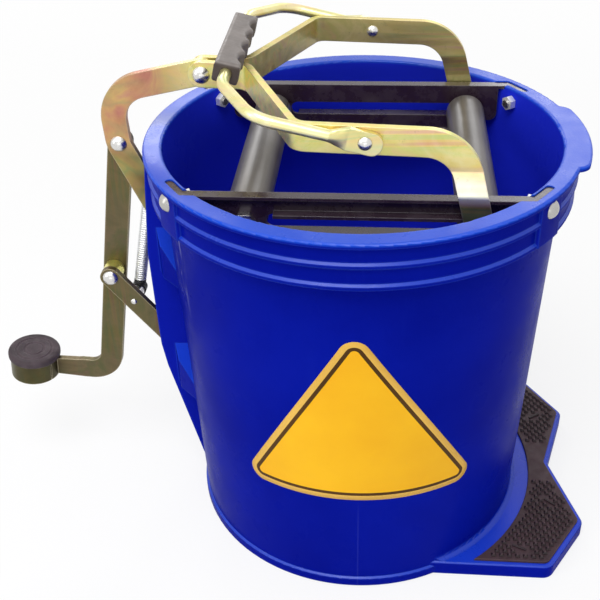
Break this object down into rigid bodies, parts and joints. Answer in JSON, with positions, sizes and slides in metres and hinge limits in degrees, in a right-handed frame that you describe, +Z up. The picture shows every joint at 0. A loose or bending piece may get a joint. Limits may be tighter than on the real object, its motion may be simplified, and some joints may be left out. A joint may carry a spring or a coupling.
{
  "type": "foot-pedal mop bucket",
  "caption": "Tapered round mop bucket with a pedal-driven roller wringer: a bell crank and yoke draw the sliding roller to the fixed one, with a carry bail and a foot plate.",
  "frame": {"origin": "centre of the bucket's flat base, on the floor", "axes": "+X from the pedal side to the foot plate side, +Y to the back, +Z up"},
  "size_m": [0.5025, 0.32, 0.4081],
  "materials": {
    "blue_plastic": "glossy injection-moulded",
    "tread_rubber": "matt, studded",
    "rail_black": "glossy black",
    "fastener_silver": "bright zinc",
    "axle_steel": "bright drawn",
    "roller_grey": "satin",
    "nylon": "natural",
    "zinc_yellow": "yellow-passivated zinc",
    "zinc_cream": "yellow-passivated zinc, bright",
    "cap_rubber": "matt",
    "spring_steel": "bright zinc",
    "plug_black": "satin",
    "grip_rubber": "satin"
  },
  "bodies": {
    "frame": {"bucket": "blue_plastic", "foot_pad": "tread_rubber", "front_rail": "rail_black", "rear_rail": "rail_black", "rail_bolts": "fastener_silver", "rail_nuts": "fastener_silver", "fixed_axle": "axle_steel", "fixed_axle_nuts": "fastener_silver", "crank_pivot_pin": "fastener_silver", "crank_bushes": "nylon", "link_pivot_pin": "fastener_silver", "link_bushes": "nylon", "spring_anchor_pin": "fastener_silver"},
    "fixed_roller": {"fixed_roller": "roller_grey"},
    "crank": {"bell_crank": "zinc_yellow", "crank_lever_rivet": "fastener_silver"},
    "lever": {"pedal_lever": "zinc_yellow", "pedal_cap": "cap_rubber"},
    "link": {"lower_link": "zinc_yellow", "link_rivet": "fastener_silver", "link_spacer": "zinc_cream", "spring_pin": "fastener_silver"},
    "yoke": {"yoke_front_arm": "zinc_yellow", "yoke_rear_arm": "zinc_yellow", "yoke_rivet": "fastener_silver", "bail_rivets": "fastener_silver"},
    "bail": {"bail_rod": "zinc_cream", "bail_grip": "grip_rubber"},
    "carriage": {"slide_axle": "axle_steel", "slide_axle_nuts": "fastener_silver", "slide_bushes": "nylon"},
    "slide_roller": {"slide_roller": "roller_grey"},
    "spring_top": {"spring_top_plug": "plug_black", "return_spring": "spring_steel"},
    "spring_foot": {"spring_foot_plug": "plug_black"}
  },
  "joints": [
    {"name": "pedal", "type": "hinge", "parent": "frame", "child": "crank", "pos_m": [-0.1563, 0, 0.2645], "axis": [0, -1, 0], "range_deg": [0, 45], "stiffness_Nm_per_rad": 3, "springref_deg": -22.92},
    {"name": "lever_swing", "type": "hinge", "parent": "crank", "child": "lever", "pos_m": [-0.1824, 0, 0.3242], "axis": [0, -1, 0], "range_deg": [-39.76, 0]},
    {"name": "link_swing", "type": "hinge", "parent": "frame", "child": "link", "pos_m": [-0.1575, 0, 0.1535], "axis": [0, -1, 0], "range_deg": [0, 35.74]},
    {"name": "yoke_swing", "type": "hinge", "parent": "crank", "child": "yoke", "pos_m": [-0.1139, 0, 0.3813], "axis": [0, -1, 0], "range_deg": [-45, 0]},
    {"name": "carriage_slide", "type": "slide", "parent": "frame", "child": "carriage", "axis": [-1, 0, 0], "range_m": [0, 0.09547]},
    {"name": "slide_roller_spin", "type": "hinge", "parent": "carriage", "child": "slide_roller", "pos_m": [0.082, 0, 0.3139], "axis": [0, 1, 0], "continuous": true},
    {"name": "fixed_roller_spin", "type": "hinge", "parent": "frame", "child": "fixed_roller", "pos_m": [-0.0745, 0, 0.3139], "axis": [0, 1, 0], "continuous": true},
    {"name": "spring_swing", "type": "hinge", "parent": "frame", "child": "spring_top", "pos_m": [-0.164, 0, 0.289], "axis": [0, -1, 0], "range_deg": [-5.16, 0]},
    {"name": "spring_stretch", "type": "slide", "parent": "spring_top", "child": "spring_foot", "axis": [-0.2006, 0, -0.9797], "range_m": [0, 0.02457], "deforming": ["return_spring"]},
    {"name": "bail_lift", "type": "hinge", "parent": "yoke", "child": "bail", "pos_m": [0.0059, 0, 0.37691], "axis": [0, 1, 0], "range_deg": [0, 150]}
  ],
  "couplings": [
    {"joint": "lever_swing", "follows": "pedal", "ratio": -0.88347},
    {"joint": "link_swing", "follows": "pedal", "ratio": 0.79416},
    {"joint": "yoke_swing", "follows": "pedal", "ratio": -1},
    {"joint": "carriage_slide", "follows": "pedal", "m_per_rad": 0.12155},
    {"joint": "spring_swing", "follows": "pedal", "ratio": -0.11464},
    {"joint": "spring_stretch", "follows": "pedal", "m_per_rad": 0.031276}
  ]
}
